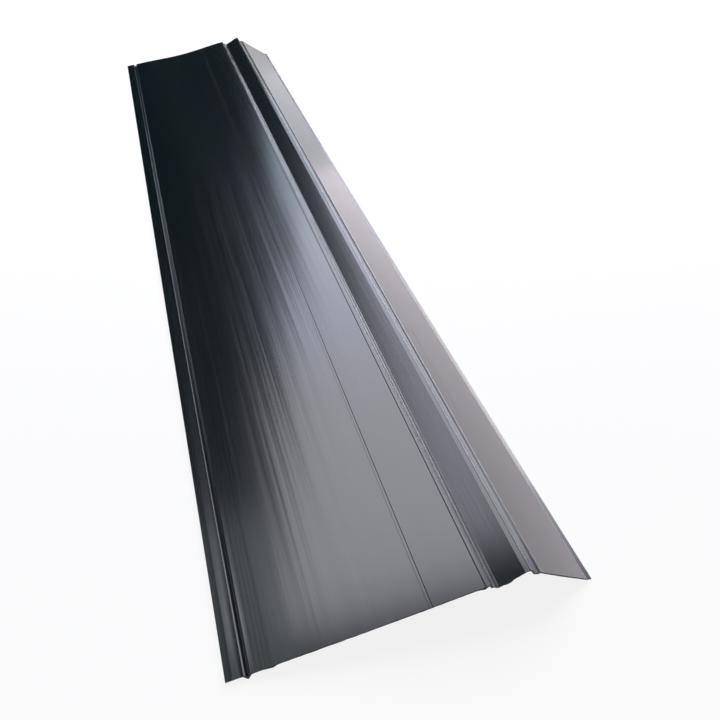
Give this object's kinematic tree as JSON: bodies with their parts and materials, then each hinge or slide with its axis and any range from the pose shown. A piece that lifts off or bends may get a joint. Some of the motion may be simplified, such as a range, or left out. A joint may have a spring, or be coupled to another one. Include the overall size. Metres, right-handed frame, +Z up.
{
  "type": "eaves tray",
  "caption": "Long black extruded plastic eaves tray: a flat panel with a channel along its upper edge, a hinge line, a raised ridge and a sloping drip flange.",
  "frame": {"origin": "centre of the footprint, on the floor the tray lies on", "axes": "+Y along the tray, the way it was extruded; +X across it from the upper edge to the drip edge; +Z up"},
  "size_m": [0.3272, 1.5, 0.0439],
  "materials": {
    "black_pvc": "satin"
  },
  "bodies": {
    "root": {"eaves_tray": "black_pvc"}
  },
  "joints": []
}
